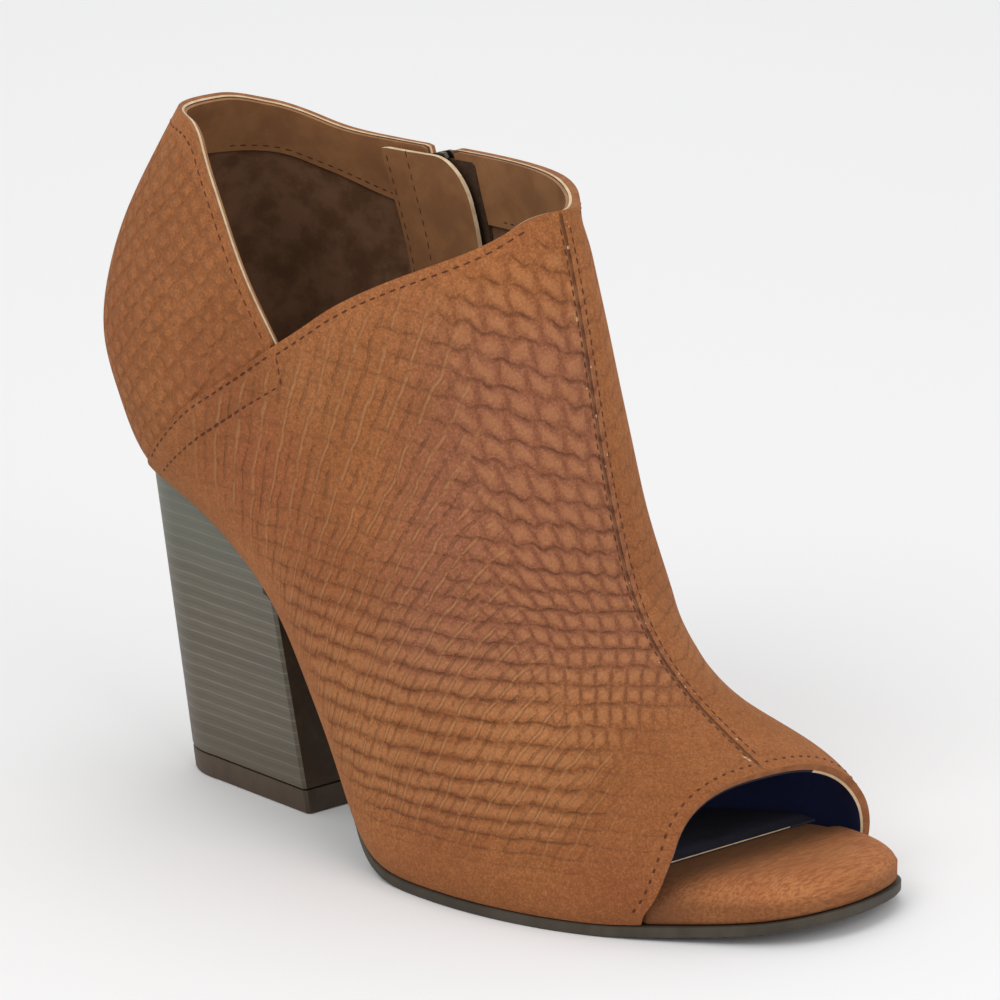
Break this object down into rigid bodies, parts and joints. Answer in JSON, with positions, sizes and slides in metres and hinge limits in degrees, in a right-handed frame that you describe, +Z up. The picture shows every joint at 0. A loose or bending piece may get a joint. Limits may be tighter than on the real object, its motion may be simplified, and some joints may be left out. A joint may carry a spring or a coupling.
{
  "type": "ankle boot",
  "caption": "Right-foot open-toe ankle boot in snake-embossed suede, with a V-cut collar, an inner-side zip and a stacked block heel.",
  "frame": {"origin": "on the floor, under the middle of the bounding box", "axes": "+X from heel to toe, +Y to the inner side of the foot, +Z up"},
  "size_m": [0.2372, 0.0924, 0.1767],
  "materials": {
    "upper_suede": "embossed suede, matt",
    "bed_suede": "suede, matt",
    "outsole_rubber": "matt",
    "sock_lining": "matt",
    "heel_stack": "stacked layers, satin",
    "heel_tip_rubber": "matt",
    "zip_tape": "woven, matt",
    "guard_leather": "smooth, satin",
    "zip_metal": "dark antique"
  },
  "bodies": {
    "boot": {"upper": "upper_suede", "outsole": "outsole_rubber", "footbed": "bed_suede", "insole_sock": "sock_lining", "heel_block": "heel_stack", "heel_tip": "heel_tip_rubber", "zip_tape_front": "zip_tape", "zip_tape_rear": "zip_tape", "zip_chain": "zip_metal", "zip_guard": "guard_leather", "zip_slider": "zip_metal"},
    "pull_tab": {"zip_pull": "zip_metal"}
  },
  "joints": [
    {"name": "pull_tab_hinge", "type": "hinge", "parent": "boot", "child": "pull_tab", "pos_m": [-0.04397, 0.03667, 0.15987], "axis": [0.9656, -0.0847, 0.2459], "range_deg": [0, 160]}
  ]
}
